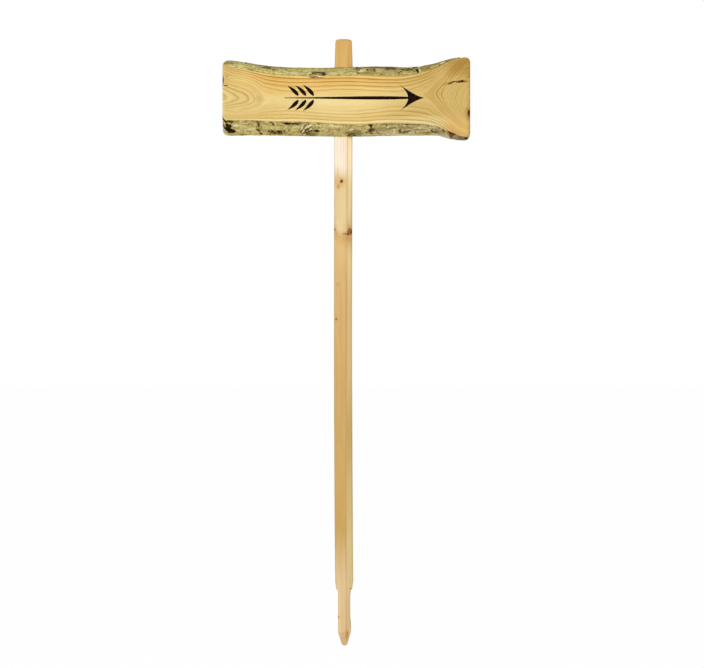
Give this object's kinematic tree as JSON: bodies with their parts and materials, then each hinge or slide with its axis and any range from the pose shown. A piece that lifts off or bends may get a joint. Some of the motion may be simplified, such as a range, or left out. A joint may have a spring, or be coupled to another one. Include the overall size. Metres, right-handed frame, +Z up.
{
  "type": "wooden signpost",
  "caption": "Live-edge wooden board with bark on both long edges, screwed to the front of a square post with a pointed tongue that is driven into the ground.",
  "frame": {"origin": "on the post's axis at the foot of its sawn shoulders, where the ground comes up to", "axes": "+Z up along the post, the board's front face looks along -Y, +X to the right of someone who reads the board"},
  "size_m": [0.61, 0.075, 1.503],
  "materials": {
    "planed_softwood": "planed softwood under a clear satin oil",
    "slab_wood": "sanded live-edge slab under a clear satin oil",
    "inner_bark": "smooth green-brown bark",
    "weathered_bark": "grey weathered bark",
    "outer_bark": "rough dark outer bark",
    "painted_mark": "routed groove filled with dark brown paint",
    "zinc_steel": "zinc-plated steel"
  },
  "bodies": {
    "root": {"post": "planed_softwood", "board": "slab_wood", "upper_bark": "inner_bark", "upper_corner_bark": "inner_bark", "lower_bark": "inner_bark", "lower_corner_bark": "weathered_bark", "upper_outer_bark": "outer_bark", "lower_outer_bark": "outer_bark", "fixing_screws": "zinc_steel"}
  },
  "joints": []
}
